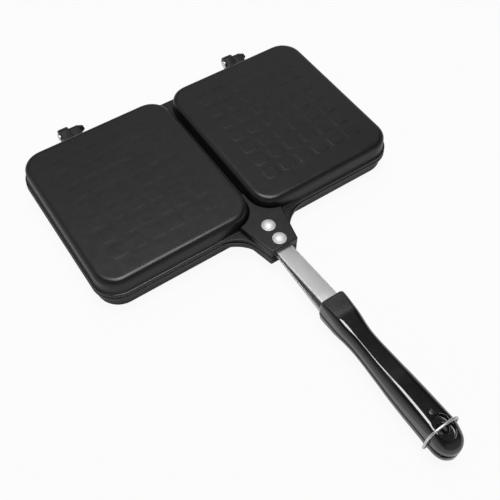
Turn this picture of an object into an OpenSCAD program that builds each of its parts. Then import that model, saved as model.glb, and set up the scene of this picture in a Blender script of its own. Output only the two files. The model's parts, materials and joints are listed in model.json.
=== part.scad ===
// Double pie iron: two hinged pans, each with two square trays, on a pair of long handles.
// Every shape is drawn about the closing plane (z = 0) with y = 0 at the front wall of the
// trays, and place() then moves it so that the origin is under the middle of the whole iron.
// +X runs across the trays, -Y towards the handle's end, +Z up.

/* [Trays] */
// Width over both trays at the top of their walls
pan_w = 273.6; // [240:0.2:300]
// Depth of a tray from its front wall to its back wall
pan_d = 152; // [130:0.5:170]
// Height of one half from the closing plane to the tray's flat top
half_h = 17; // [14:0.5:22]
// Gap between the two trays at the top of their walls
tray_gap = 6.6; // [4:0.2:12]
// Wall thickness of the cast trays
wall_t = 3; // [2:0.1:4]
// Thickness of the trays' flat tops
floor_t = 2.8; // [2:0.1:4]
// Corner radius of a tray seen from above
corner_r = 18.5; // [12:0.5:24]
// Radius of the soft edge round a tray's flat top
edge_r = 5; // [3:0.5:7]
// How far a wall leans out from top to foot
wall_lean = 1; // [0.5:0.1:2]

/* [Rim] */
// How far the rim stands out from the foot of the walls
rim_out = 1.8; // [1:0.1:4]
// Thickness of the rim on each half
rim_h = 3.4; // [2.5:0.1:5]
// Space left between the two closed halves
parting_gap = 0.4; // [0.3:0.05:1]

/* [Neck] */
// Length of the neck from the trays' front wall
neck_len = 34.6; // [28:0.2:45]
// Width of the neck where it leaves the trays
neck_back_w = 41; // [34:0.2:50]
// Width of the neck at its front face
neck_front_w = 23.6; // [20:0.2:30]
// Height of the raised boss on the neck above the closing plane
boss_h = 8.8; // [7:0.2:11]
// Radius of the hollow curve between rim and neck
neck_curve_r = 26; // [18:0.5:27]

/* [Hinges] */
// Distance between the middles of the two hinges
hinge_span = 170; // [120:1:190]
// How far both hinges sit to the right of the middle
hinge_shift = 1.5; // [0:0.5:3]
// Distance from the trays' back wall to the hinge axis
hinge_out = 18.7; // [14:0.1:24]
// Outer radius of the upper half's knuckles
upper_knuckle_r = 6.4; // [5.5:0.1:8]
// Outer radius of the lower half's knuckles
lower_knuckle_r = 4.6; // [4:0.1:6]
// Width of an upper knuckle along the pin
upper_knuckle_w = 9; // [7:0.2:12]
// Width of a lower knuckle along the pin
lower_knuckle_w = 8.6; // [5:0.2:9]
// Diameter of the hinge pins
pin_d = 4; // [3:0.5:5]
// Diameter of a hinge pin's head
pin_head_d = 7; // [5.5:0.5:9]

/* [Tangs and rivets] */
// Width of the steel tangs
tang_w = 14; // [12:0.5:18]
// Thickness of the steel tangs
tang_t = 2; // [1.5:0.1:3]
// Height of a tang's outer face in the neck
tang_low = 3.2; // [3:0.1:4]
// Height of a tang's outer face in the grip
tang_high = 8; // [7:0.1:9]
// Distance of the first rivet from the trays' front wall
rivet_first = 12.2; // [10:0.2:14]
// Distance between the two rivets of a half
rivet_step = 14.9; // [12:0.1:18]
// Diameter of a rivet's shank
rivet_d = 6; // [4:0.5:7]
// Diameter of a rivet's domed head
rivet_head_d = 11.2; // [9:0.2:13]
// Height of a rivet's domed head
rivet_head_h = 2.3; // [1.5:0.1:3]

/* [Grips] */
// Distance from the trays' front wall to the grips
grip_start = 89.5; // [80:0.5:100]
// Space left between the two closed grips
grip_gap = 1.2; // [0.8:0.1:2]
// Diameter of the hanging hole through both grips
hang_hole_d = 8; // [6:0.5:9]
// Length of the oval hollow round the hanging hole
hollow_len = 19; // [16:0.5:20]
// Width of the oval hollow round the hanging hole
hollow_w = 13; // [11:0.5:13.5]
// Shank diameter of the screw that holds a grip on its tang
screw_d = 3; // [2.5:0.5:4]
// Head diameter of that screw
screw_head_d = 4.6; // [4:0.1:5]

/* [Lock ring] */
// Diameter of the ring's wire
wire_d = 1.9; // [1.5:0.1:2.2]
// Distance from the ring's pivot to its cross bar
ring_reach = 20; // [19.6:0.1:21]
// Distance from the middle of the iron to a leg of the ring
ring_half_w = 13.9; // [13.6:0.1:16]
// Height of the pivot below the closing plane
ring_drop = 4.5; // [4:0.1:5.5]
// Forward lean of the locked ring, in degrees
ring_lean = 3; // [1:0.5:5]

/* [Hidden] */

$fn = 64;

coating = "#262626";
bakelite = "#1c1c1c";
steel = "#b9b9b9";
bright = "#dcdcdc";

// Outline of a grip from its front end: [distance, half width, height of its outer face]
GRIP = [[0, 9, 11.2], [2.2, 11, 12.3], [8, 12, 12.7], [20, 11.9, 12.4], [32, 10.5, 10.7],
        [44, 9.5, 9.9], [60, 9.9, 10.4], [80, 11.1, 11.8], [100, 12, 13], [116, 12.2, 13.5],
        [126, 11.8, 12.9], [132, 10.4, 10.7], [136.5, 7.4, 7], [139, 2.6, 2.8]];
grip_steps = 3;            // sections between two points of that outline
shoulder_h = 4;            // height up to which a grip's sides stand upright
side_slope = 0.45;         // how far a side leans in above that, for each mm of height
edge_cut = 0.8;            // small bevel along a grip's edges
grip_len = GRIP[len(GRIP) - 1][0];

eps = 0.01;
pin_play = 0.05;           // radial play of whatever turns in a bore
side_play = 0.3;           // play between parts that move past each other
tray_w = (pan_w - tray_gap) / 2;
tray_x = (tray_gap + tray_w) / 2;
rim_edge = wall_lean + rim_out;
hinge_y = pan_d + hinge_out;
hinge_w = upper_knuckle_w + side_play + lower_knuckle_w;
pin_head_h = 1.3;
pin_tail_d = 6.4;
tang_start = 5;
tang_end = 203;
tang_bend = neck_len + 1.5;
tang_level = grip_start - 1;
tail_d = 8.5;              // the flattened inner end of a rivet
tail_h = 0.8;
hole_y = 211.5;            // the hanging hole's distance from the trays' front wall
hollow_deep = 4;
screw_y = 199.3;
screw_head_h = 1.4;
screw_top = 13.4;
ring_y = 212;              // the ring pivot's distance from the trays' front wall
ring_pin = 6.4;            // length of wire that reaches into the grip on each side
ring_corner_r = 6.5;
ring_bend_r = 1.5;

reach_front = grip_start + grip_len;
reach_back = hinge_y + upper_knuckle_r;
front_y = (reach_front - reach_back) / 2;

// ---- shared shapes -------------------------------------------------------

module place() {
    translate([0, front_y, half_h])
        children();
}

module flipped() {
    mirror([0, 0, 1])
        children();
}

// Draws a (y, z) outline as a bar that runs along X from x0, w long
module along_x(x0, w) {
    translate([x0, 0, 0])
        rotate([90, 0, 90])
            linear_extrude(w)
                children();
}

function arc_points(c, r, from, to, n) =
    [for (i = [0:n]) c + r * [cos(from + (to - from) * i / n), sin(from + (to - from) * i / n)]];

// Wall of a tray in section: the wall leans by lean and turns into the top with radius f
function wall_section(half, h, f, lean) =
    let (tilt = atan(lean / h), c = [half + lean * f / h - f / cos(tilt), h - f])
    concat([[half + lean, 0]], arc_points(c, f, tilt, 90, 6));

function both_sides(pts) =
    concat(pts, [for (i = [len(pts) - 1:-1:0]) [-pts[i][0], pts[i][1]]]);

function from_axis(pts, h) =
    concat([[0, 0]], pts, [[0, h]]);

// A shallow tub upside down, with leaning walls, round corners and a soft top edge
module tub(w, d, r, h, f, lean) {
    corner = from_axis(wall_section(r, h, f, lean), h);
    for (quarter = [0:3]) {
        sx = (quarter == 0 || quarter == 3) ? 1 : -1;
        sy = quarter < 2 ? 1 : -1;
        translate([sx * (w / 2 - r), sy * (d / 2 - r), 0])
            rotate(90 * quarter)
                rotate_extrude(angle = 90)
                    polygon(corner);
    }
    for (side = [0, 1])
        mirror([side, 0, 0])
            translate([w / 2 - r, 0, 0])
                rotate([90, 0, 0])
                    linear_extrude(d - 2 * r, center = true)
                        polygon(corner);
    along_x(r - w / 2, w - 2 * r)
        polygon(both_sides(wall_section(d / 2, h, f, lean)));
}

module rounded_square(w, d, r) {
    square([w - 2 * r, d], center = true);
    square([w, d - 2 * r], center = true);
    for (sx = [-1, 1], sy = [-1, 1])
        translate([sx * (w / 2 - r), sy * (d / 2 - r)])
            circle(r);
}

// ---- one pan half, drawn above the closing plane ---------------------------

neck_side = [neck_front_w - neck_back_w, -2 * neck_len] / 2;
neck_side_out = [-neck_side[1], neck_side[0]] / norm(neck_side);
curve_y = -rim_edge - neck_curve_r;
curve_x = neck_back_w / 2 + (neck_curve_r - curve_y * neck_side_out[1]) / neck_side_out[0];
curve_centre = [curve_x, curve_y];

// The neck's flat outline with its hollow curves into the rim
module neck_outline() {
    difference() {
        for (side = [0, 1])
            mirror([side, 0])
                polygon([[-eps, 1], [curve_x, 1], curve_centre + [0, neck_curve_r], curve_centre,
                         curve_centre - neck_curve_r * neck_side_out,
                         [neck_front_w / 2, -neck_len], [-eps, -neck_len]]);
        for (sx = [-1, 1])
            translate([sx * curve_x, curve_y])
                circle(neck_curve_r);
    }
}

module rim_outline() {
    translate([0, pan_d / 2])
        rounded_square(pan_w + 2 * rim_edge, pan_d + 2 * rim_edge, corner_r + rim_edge);
    neck_outline();
}

// The boss fills the wedge between the round front corners of the two trays
module boss_outline() {
    back = neck_back_w / 2 - 4 * neck_side[0] / neck_len;
    polygon([[-neck_front_w / 2, -neck_len], [neck_front_w / 2, -neck_len], [back, 4],
             [tray_gap + wall_t / 2, corner_r], [-tray_gap - wall_t / 2, corner_r], [-back, 4]]);
}

function rivet_y(i) = -rivet_first - i * rivet_step;

module pan_half() {
    difference() {
        union() {
            for (s = [-1, 1])
                translate([s * tray_x, pan_d / 2, 0])
                    tub(tray_w, pan_d, corner_r, half_h, edge_r, wall_lean);
            linear_extrude(rim_h)
                rim_outline();
            linear_extrude(boss_h)
                boss_outline();
        }
        for (s = [-1, 1])
            translate([s * tray_x, pan_d / 2, -eps])
                tub(tray_w - 2 * wall_t, pan_d - 2 * wall_t, corner_r - wall_t,
                    half_h - floor_t + eps, edge_r - 1, wall_lean);
        translate([-pan_w, -pan_d, -1])
            cube([2 * pan_w, 3 * pan_d, 1 + parting_gap / 2]);
        translate([-tang_w / 2 - 0.1, -neck_len - 1, -1])
            cube([tang_w + 0.2, neck_len + 2 - tang_start, 1 + tang_low]);
        for (i = [0, 1])
            translate([0, rivet_y(i), 0])
                cylinder(h = boss_h + 1, d = rivet_d);
    }
}

// An arm from the rim to a knuckle round the hinge axis
module knuckle(x0, w, r, bore_d) {
    from = [pan_d + rim_edge, rim_h];
    to_axis = from - [hinge_y, 0];
    touch = atan2(to_axis[1], to_axis[0]) - acos(r / norm(to_axis));
    along_x(x0, w)
        difference() {
            union() {
                polygon([[pan_d, parting_gap / 2], [pan_d, rim_h], from,
                         [hinge_y, 0] + r * [cos(touch), sin(touch)], [hinge_y, parting_gap / 2]]);
                translate([hinge_y, 0])
                    circle(r);
            }
            translate([hinge_y, 0])
                circle(d = bore_d);
        }
}

function hinge_x(side) = hinge_shift + side * hinge_span / 2;

module at_hinges() {
    for (s = [-1, 1])
        translate([hinge_x(s) - hinge_w / 2, 0, 0])
            children();
}

module upper_pan() {
    color(coating)
        place() {
            pan_half();
            at_hinges()
                knuckle(0, upper_knuckle_w, upper_knuckle_r, pin_d + 2 * pin_play);
        }
}

module lower_pan() {
    color(coating)
        place()
            flipped() {
                pan_half();
                at_hinges()
                    knuckle(upper_knuckle_w + side_play, lower_knuckle_w, lower_knuckle_r, pin_d);
            }
}

// ---- hinge pins ------------------------------------------------------------

// A headed pin, held in the lower knuckle, on which the upper knuckle turns
module hinge_pin(side) {
    color(bright)
        place()
            translate([hinge_x(side) - hinge_w / 2 - side_play, hinge_y, 0])
                rotate([0, 90, 0]) {
                    translate([0, 0, -pin_head_h])
                        cylinder(h = pin_head_h, d = pin_head_d);
                    cylinder(h = side_play + hinge_w, d = pin_d);
                    translate([0, 0, side_play + hinge_w])
                        cylinder(h = pin_head_h, d = pin_tail_d);
                }
}

module left_hinge_pin() {
    hinge_pin(-1);
}

module right_hinge_pin() {
    hinge_pin(1);
}

// ---- tangs and rivets ------------------------------------------------------

function tang_line(drop) =
    [[-tang_start, tang_low - drop], [-tang_bend, tang_low - drop],
     [-tang_level, tang_high - drop], [-tang_end, tang_high - drop]];

// A flat bar that lies in the neck, rises and then runs level inside the grip
module tang() {
    outer = tang_line(0);
    inner = tang_line(tang_t);
    difference() {
        along_x(-tang_w / 2, tang_w)
            polygon(concat(outer, [for (i = [3:-1:0]) inner[i]]));
        for (i = [0, 1])
            translate([0, rivet_y(i), 0])
                cylinder(h = boss_h, d = rivet_d);
        translate([0, -screw_y, 0])
            cylinder(h = screw_top, d = screw_d);
    }
}

module upper_tang() {
    color(steel)
        place()
            tang();
}

module lower_tang() {
    color(steel)
        place()
            flipped()
                tang();
}

module rivet() {
    ball_r = (pow(rivet_head_d / 2, 2) + pow(rivet_head_h, 2)) / (2 * rivet_head_h);
    inner = tang_low - tang_t;
    translate([0, 0, boss_h])
        intersection() {
            translate([0, 0, rivet_head_h - ball_r])
                sphere(ball_r);
            cylinder(h = rivet_head_h + 1, d = rivet_head_d + 1);
        }
    translate([0, 0, inner])
        cylinder(h = boss_h - inner + eps, d = rivet_d);
    translate([0, 0, inner - tail_h])
        cylinder(h = tail_h, d = tail_d);
}

module rivet_pair() {
    for (i = [0, 1])
        translate([0, rivet_y(i), 0])
            rivet();
}

module upper_rivets() {
    color(bright)
        place()
            rivet_pair();
}

module lower_rivets() {
    color(bright)
        place()
            flipped()
                rivet_pair();
}

// ---- grips -----------------------------------------------------------------

// A smooth line through the points p at u = 0, 1, 2 ...
function smooth(p, u) =
    let (last = len(p) - 1, i = min(floor(u), last - 1), t = u - i,
         a = p[max(i - 1, 0)], b = p[i], c = p[i + 1], d = p[min(i + 2, last)])
    0.5 * (2 * b + (c - a) * t + (2 * a - 5 * b + 4 * c - d) * t * t
           + (3 * b - a - 3 * c + d) * t * t * t);

// One section of a grip: upright sides, then sides that lean in to the outer face
function grip_section(st) =
    let (w = st[1], top = st[2], low = grip_gap / 2,
         shoulder = min(shoulder_h, low + 0.3 * (top - low)),
         face = w - side_slope * (top - shoulder),
         half = [[w - edge_cut, low], [w, low + edge_cut * 0.8], [w, shoulder],
                 [face + 0.4, top - edge_cut], [face - edge_cut, top - 0.1], [face / 2, top + 0.15]])
    [for (p = both_sides(half)) [p[0], -grip_start - st[0], p[1]]];

module grip_body() {
    rows = [for (u = [0:1 / grip_steps:len(GRIP) - 1 + eps]) grip_section(smooth(GRIP, u))];
    n = len(rows[0]);
    last = (len(rows) - 1) * n;
    sides = [for (j = [0:len(rows) - 2], i = [0:n - 1], half = [0, 1])
             let (a = j * n + i, b = j * n + (i + 1) % n)
             half == 0 ? [a, a + n, b] : [b, a + n, b + n]];
    caps = concat([for (i = [1:n - 2]) [0, i, i + 1]],
                  [for (i = [1:n - 2]) [last, last + i + 1, last + i]]);
    polyhedron([for (row = rows) each row], concat(sides, caps));
}

module stadium(len_y, w) {
    square([w, len_y - w], center = true);
    for (s = [-1, 1])
        translate([0, s * (len_y - w) / 2])
            circle(d = w);
}

module grip() {
    difference() {
        grip_body();
        translate([-tang_w / 2 - 0.05, -tang_end - 0.5, tang_high - tang_t - 0.05])
            cube([tang_w + 0.1, tang_end - grip_start + 2, tang_t + 0.1]);
        translate([0, -hole_y, -1])
            cylinder(h = 20, d = hang_hole_d);
        translate([0, -hole_y, screw_top - hollow_deep])
            linear_extrude(10)
                stadium(hollow_len, hollow_w);
        translate([0, -screw_y, tang_high])
            cylinder(h = 10, d = screw_d);
        translate([0, -screw_y, screw_top - screw_head_h])
            cylinder(h = 10, d = screw_head_d);
    }
}

module upper_grip() {
    color(bakelite)
        place()
            grip();
}

module lower_grip() {
    color(bakelite)
        place()
            difference() {
                flipped()
                    grip();
                for (s = [-1, 1])
                    translate([s * (ring_half_w - ring_bend_r - ring_pin / 2), -ring_y, -ring_drop])
                        rotate([0, 90, 0])
                            cylinder(h = ring_pin + 1, d = wire_d + 2 * pin_play, center = true);
            }
}

module grip_screw() {
    translate([0, -screw_y, tang_high - tang_t])
        cylinder(h = screw_top - tang_high + tang_t - eps, d = screw_d);
    translate([0, -screw_y, screw_top - screw_head_h])
        cylinder(h = screw_head_h, d = screw_head_d);
}

module upper_grip_screw() {
    color(bakelite)
        place()
            grip_screw();
}

module lower_grip_screw() {
    color(bakelite)
        place()
            flipped()
                grip_screw();
}

// ---- lock ring -------------------------------------------------------------

module wire_bend(r) {
    rotate_extrude(angle = 90)
        translate([r, 0])
            circle(d = wire_d);
}

// One half of the ring in its own flat plane: in from the grip, up the leg and over to the middle
module ring_side() {
    foot_x = ring_half_w - ring_bend_r;
    top_x = ring_half_w - ring_corner_r;
    translate([foot_x - ring_pin, 0, 0])
        rotate([0, 90, 0])
            cylinder(h = ring_pin, d = wire_d);
    translate([foot_x, ring_bend_r, 0])
        rotate(270)
            wire_bend(ring_bend_r);
    translate([ring_half_w, ring_bend_r, 0])
        rotate([-90, 0, 0])
            cylinder(h = ring_reach - ring_corner_r - ring_bend_r, d = wire_d);
    translate([top_x, ring_reach - ring_corner_r, 0])
        wire_bend(ring_corner_r);
    translate([0, ring_reach, 0])
        rotate([0, 90, 0])
            cylinder(h = top_x, d = wire_d);
}

module lock_ring() {
    color(bright)
        place()
            translate([0, -ring_y, -ring_drop])
                rotate([90 - ring_lean, 0, 0])
                    for (side = [0, 1])
                        mirror([side, 0, 0])
                            ring_side();
}

lower_pan();
upper_pan();
left_hinge_pin();
right_hinge_pin();
lower_tang();
upper_tang();
lower_rivets();
upper_rivets();
lower_grip();
upper_grip();
lower_grip_screw();
upper_grip_screw();
lock_ring();
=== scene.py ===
"""Looks of a double pie iron: two hinged pans on long handles, locked by a wire ring.

Sizes are in millimetres in the drawing frame of the closed iron: z = 0 is the closing plane, y = 0 is
the front wall of the trays, +X runs across the trays and -Y along the handles. row() turns them into
the frame's metres. Both halves are drawn as the upper one, and the lower half's pieces are turned over.
"""

import json
import math

import bmesh
import bpy
from mathutils import Matrix, Vector, noise


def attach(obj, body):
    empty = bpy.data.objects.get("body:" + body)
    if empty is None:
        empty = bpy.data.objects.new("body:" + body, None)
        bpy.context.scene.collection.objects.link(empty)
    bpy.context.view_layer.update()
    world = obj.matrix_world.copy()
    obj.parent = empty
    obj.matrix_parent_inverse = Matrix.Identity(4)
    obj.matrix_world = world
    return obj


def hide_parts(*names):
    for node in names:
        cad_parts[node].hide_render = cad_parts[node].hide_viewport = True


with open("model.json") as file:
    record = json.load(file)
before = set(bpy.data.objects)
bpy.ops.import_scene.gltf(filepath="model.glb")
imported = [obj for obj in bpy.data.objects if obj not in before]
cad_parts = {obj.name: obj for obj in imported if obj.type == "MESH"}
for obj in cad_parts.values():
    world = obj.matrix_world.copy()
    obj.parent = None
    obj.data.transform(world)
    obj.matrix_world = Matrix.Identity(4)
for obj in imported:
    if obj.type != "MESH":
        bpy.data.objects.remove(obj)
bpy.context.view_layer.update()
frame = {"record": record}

MM = 0.001
JOINTS = {joint["name"]: joint for joint in frame["record"]["behaviour"]["joints"]}
HINGE = Vector(JOINTS["pan_hinge"]["pos_m"])
PIVOT = Vector(JOINTS["ring_pivot"]["pos_m"])

# Trays
PAN_W = 273.6
PAN_D = 152.0
HALF_H = 17.0
TRAY_GAP = 6.6
WALL = 3.0
FLOOR = 2.8
CORNER_R = 18.5
EDGE_R = 5.0
LEAN = 1.0
RIM_OUT = 1.8
RIM_H = 3.4
RIM_STEP = 0.3
GAP = 0.4
TRAY_W = (PAN_W - TRAY_GAP) / 2
TRAY_X = (TRAY_GAP + TRAY_W) / 2
RIM_EDGE = LEAN + RIM_OUT
FLAT_OFFSET = -EDGE_R - 0.6
SIDES = ((-1, "left"), (1, "right"))

# Raised squares on the trays' tops, which show less on the left tray, and the unevenness of the castings
SQUARE = 13.2
SQUARE_R = 3.0
PITCH_X = 16.4
PITCH_Y = 16.55
COLUMNS = 6
ROWS = 7
SLOPE = 1.5
SQUARE_H = {"left": 0.06, "right": 0.19}
GRID_MARGIN = 2.2
WAVE_H = 0.12
WAVE_L = 34.0
WAVE_SEED = 3.7

# Neck and boss
NECK_LEN = 34.6
NECK_BACK_W = 41.8
NECK_FRONT_W = 24.5
NECK_CURVE_R = 26.0
LOWER_CURVE_R = 30.5
LOWER_WEB_H = 4.8
MOAT = 1.5
BOSS_H = 8.8

# Hinges
HINGE_Y = PAN_D + 18.7
HINGE_SPAN = 170.0
HINGE_SHIFT = 1.5
UPPER_KNUCKLE = (9.0, 6.4)
LOWER_KNUCKLE = (8.6, 4.2)
SIDE_PLAY = 0.3
HINGE_W = UPPER_KNUCKLE[0] + SIDE_PLAY + LOWER_KNUCKLE[0]
PIN_R = 2.0
PIN_HEAD_R = 3.5
PIN_TAIL_R = 2.15
PIN_HEAD_H = 1.3
PIN_TAIL_H = 0.5
COLLAR_L = 4.1

# Tangs and rivets
TANG_W = 14.0
TANG_T = 2.0
TANG_LOW = 3.2
TANG_HIGH = 8.0
TANG_START = 5.0
TANG_END = 203.0
RIVET_Y = (-12.2, -27.1)
RIVET_R = 5.6
RIVET_H = 2.3
CHANNEL = TANG_W / 2 + 0.1

# Grips
GRIP_START = 89.5
GRIP_LEN = 139.0
GRIP_LOW = 0.65
PAD_L = 20
HOLE_Y = -211.5
HOLE_R = 4.0
HOLLOW_L = 19.0
HOLLOW_W = 13.0
HOLLOW_FLOOR = 9.4
SCREW_Y = -199.3
SCREW_R = 1.95

# Lock ring
WIRE_R = 0.95
RING_REACH = 20.5
ARCH_H = 12.0
ARCH_POWER = 2.4
RING_HALF_W = 13.9
RING_PIN = 6.4
RING_BEND_R = 1.5
RING_LEAN = math.radians(3)

# Where the drawing frame lies in the row frame, worked out from the hinge axis
ORIGIN = Vector((0, HINGE.y - HINGE_Y * MM, HINGE.z))


def row(x, y, z):
    """A point of the drawing frame in the row frame, in metres."""
    return ORIGIN + Vector((x, y, z)) * MM


# ---- meshes ----


class Shape:
    """Vertices and faces of one piece in the drawing frame, in millimetres."""

    def __init__(self):
        self.verts = []
        self.faces = []

    def add(self, points):
        """Adds points and returns their numbers."""
        first = len(self.verts)
        self.verts.extend(tuple(p) for p in points)
        return list(range(first, len(self.verts)))

    def band(self, a, b, closed=True):
        """Quads between two rows of the same length."""
        n = len(a)
        for i in range(n if closed else n - 1):
            j = (i + 1) % n
            self.faces.append((a[i], a[j], b[j], b[i]))

    def bands(self, rows, closed=True):
        """Quads between each row and the next."""
        for a, b in zip(rows, rows[1:]):
            self.band(a, b, closed)

    def cap(self, ring):
        """One face over a ring."""
        self.faces.append(tuple(ring))

    def tube(self, rings):
        """A closed bar over rings."""
        self.bands(rings)
        self.cap(rings[0])
        self.cap(rings[-1])


def finish_piece(obj, body, nodes, slot):
    """Gives a piece its material, the body that it rides on and the solids that it replaces."""
    obj.data.materials.append(MATERIALS[slot])
    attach(obj, body)
    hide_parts(*nodes)


def outward(mesh):
    """Turns all faces of a closed mesh to face outwards."""
    bm = bmesh.new()
    bm.from_mesh(mesh)
    bmesh.ops.recalc_face_normals(bm, faces=bm.faces[:])
    bm.to_mesh(mesh)
    bm.free()


def mesh_object(name, shape, lower=False, sharp=40):
    """An object from a shape, turned over for the lower half, with edges over sharp degrees kept hard."""
    side = -1 if lower else 1
    mesh = bpy.data.meshes.new(name)
    mesh.from_pydata([row(x, y, z * side) for x, y, z in shape.verts], [], shape.faces)
    mesh.validate()
    outward(mesh)
    mesh.shade_smooth()
    mesh.set_sharp_from_angle(angle=math.radians(sharp))
    obj = bpy.data.objects.new(name, mesh)
    bpy.context.collection.objects.link(obj)
    return obj


def bevelled(obj, width, segments):
    """Rounds the hard edges of a piece."""
    bevel = obj.modifiers.new("soft_edges", "BEVEL")
    bevel.width = width * MM
    bevel.segments = segments
    bevel.limit_method = "ANGLE"
    bevel.angle_limit = math.radians(35)
    bevel.harden_normals = False
    bevel.use_clamp_overlap = True
    return obj


def prism(outline, z0, z1):
    """A closed bar over an outline of (x, y) points."""
    shape = Shape()
    low = shape.add([(x, y, z0) for x, y in outline])
    high = shape.add([(x, y, z1) for x, y in outline])
    shape.cap(low)
    shape.cap(high)
    shape.band(low, high)
    return shape


def arc(centre, r, start, end, n):
    """n + 1 points on an arc, angles in degrees."""
    return [
        (
            centre[0] + r * math.cos(math.radians(start + (end - start) * i / n)),
            centre[1] + r * math.sin(math.radians(start + (end - start) * i / n)),
        )
        for i in range(n + 1)
    ]


def full_turn(n):
    """n angles all the way round."""
    return [2 * math.pi * i / n for i in range(n)]


def quarter_turn(n):
    """n + 1 angles from zero to a right angle."""
    return [math.pi / 2 * i / n for i in range(n + 1)]


def direction(points, i):
    """Direction of a line of points at one of them."""
    before, after = points[max(i - 1, 0)], points[min(i + 1, len(points) - 1)]
    return (after - before).normalized()


def lathe(shape, profile, place, n):
    """Turns (radius, height) points round an axis; place(x, y, h) puts a point in the drawing frame."""
    rings = []
    for r, h in profile:
        rings.append(shape.add(place(r * math.cos(a), r * math.sin(a), h) for a in full_turn(n)))
    shape.tube(rings)


# ---- trays ----


def grid_lines(count, pitch):
    """Lines across a row of raised squares, close together where a square's edge slopes."""
    steps = [0, 0.35, 0.7, 1.05, SLOPE, 2.4, 4.0]
    start = -((count - 1) * pitch + SQUARE) / 2
    lines = [start - GRID_MARGIN]
    for i in range(count):
        low = start + i * pitch
        lines += [low + s for s in steps]
        lines.append(low + SQUARE / 2)
        lines += [low + SQUARE - s for s in reversed(steps)]
    lines.append(-start + GRID_MARGIN)
    return lines


def square_height(x, y, high):
    """Height of the raised squares over a point measured from the tray's middle."""
    i = min(max(round(x / PITCH_X + (COLUMNS - 1) / 2), 0), COLUMNS - 1) - (COLUMNS - 1) / 2
    j = min(max(round(y / PITCH_Y + (ROWS - 1) / 2), 0), ROWS - 1) - (ROWS - 1) / 2
    dx = abs(x - i * PITCH_X) - (SQUARE / 2 - SQUARE_R)
    dy = abs(y - j * PITCH_Y) - (SQUARE / 2 - SQUARE_R)
    outside = math.hypot(max(dx, 0), max(dy, 0)) + min(max(dx, dy), 0)
    t = min(max((SQUARE_R - outside) / SLOPE, 0), 1)
    return high * t * t * (3 - 2 * t)


def waviness(x, y):
    """Slow unevenness of a cast plate."""
    return WAVE_H * noise.noise(Vector((x / WAVE_L, y / WAVE_L, WAVE_SEED)))


class TrayRings:
    """Rings round a tray that all follow the border of the grid on its flat top."""

    def __init__(self, xs, ys):
        self.xs = xs
        self.ys = ys
        self.params = []
        for side, lines in enumerate((xs, ys, xs, ys)):
            span = lines[-1] - lines[0]
            self.params += [(side, (v - lines[0]) / span) for v in lines[:-1]]

    def border(self, grid):
        """The grid's border vertices, in the rings' order."""
        nx, ny = len(self.xs), len(self.ys)
        out = [grid[0][i] for i in range(nx - 1)]
        out += [grid[j][nx - 1] for j in range(ny - 1)]
        out += [grid[ny - 1][nx - 1 - i] for i in range(nx - 1)]
        out += [grid[ny - 1 - j][0] for j in range(ny - 1)]
        return out

    def rectangle(self, side, t):
        """The point at t along one side of the grid's border."""
        a, b = self.xs[-1], self.ys[-1]
        return (
            (-a + 2 * a * t, -b),
            (a, -b + 2 * b * t),
            (a - 2 * a * t, b),
            (-a, b - 2 * b * t),
        )[side]

    def rounded(self, side, t, a, b, r):
        """The point at t along one side of a rounded rectangle, from one corner's middle to the next."""
        half, other = (a, b) if side % 2 == 0 else (b, a)
        bend = math.pi * r / 4
        straight = 2 * (half - r)
        s = t * (straight + 2 * bend)
        if s < bend:
            angle = math.pi / 4 - s / r
            u, v = -half + r - r * math.sin(angle), -other + r - r * math.cos(angle)
        elif s <= bend + straight:
            u, v = -half + r + s - bend, -other
        else:
            angle = (s - bend - straight) / r
            u, v = half - r + r * math.sin(angle), -other + r - r * math.cos(angle)
        return ((u, v), (-v, u), (-u, -v), (v, -u))[side]

    def ring(self, offset, z, centre, inner=0.0):
        """A ring at an offset outwards from the wall's top; inner blends it towards the grid's border."""
        a = TRAY_W / 2 + offset
        b = PAN_D / 2 + offset
        r = max(CORNER_R + offset, 1.0)
        points = []
        for side, t in self.params:
            x, y = self.rounded(side, t, a, b, r)
            if inner:
                gx, gy = self.rectangle(side, t)
                x, y = x + (gx - x) * inner, y + (gy - y) * inner
            points.append((centre[0] + x, centre[1] + y, z))
        return points


def rim_edge(lower):
    """How far the rim stands out. The upper half's is smaller, so that the lower one shows as a ledge."""
    return RIM_EDGE if lower else RIM_EDGE - RIM_STEP


def tray_profile(lower):
    """(offset, z) of the rings from the flat top's edge down the wall and rim to the closing plane."""
    tilt = math.atan(LEAN / HALF_H)
    rim = rim_edge(lower)
    foot_r = 1.3
    centre_e = LEAN * EDGE_R / HALF_H - EDGE_R / math.cos(tilt)
    centre_z = HALF_H - EDGE_R
    rows = [(FLAT_OFFSET, HALF_H), (-EDGE_R + 0.25, HALF_H)]
    steps = 9
    for i in range(1, steps + 1):
        a = math.pi / 2 + (tilt - math.pi / 2) * i / steps
        rows.append((centre_e + EDGE_R * math.cos(a), centre_z + EDGE_R * math.sin(a)))
    foot_z = RIM_H + foot_r
    foot_e = LEAN * (1 - foot_z / HALF_H)
    rows.append(((rows[-1][0] + foot_e) / 2, (rows[-1][1] + foot_z) / 2))
    for a in quarter_turn(4):
        rows.append((foot_e + foot_r - foot_r * math.cos(a), foot_z - foot_r * math.sin(a)))
    edge_r = 0.7
    for a in quarter_turn(4):
        rows.append((rim - edge_r + edge_r * math.sin(a), RIM_H - edge_r + edge_r * math.cos(a)))
    low_r = 0.45
    for a in quarter_turn(3):
        rows.append((rim - low_r + low_r * math.cos(a), GAP / 2 + low_r - low_r * math.sin(a)))
    return rows


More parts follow.
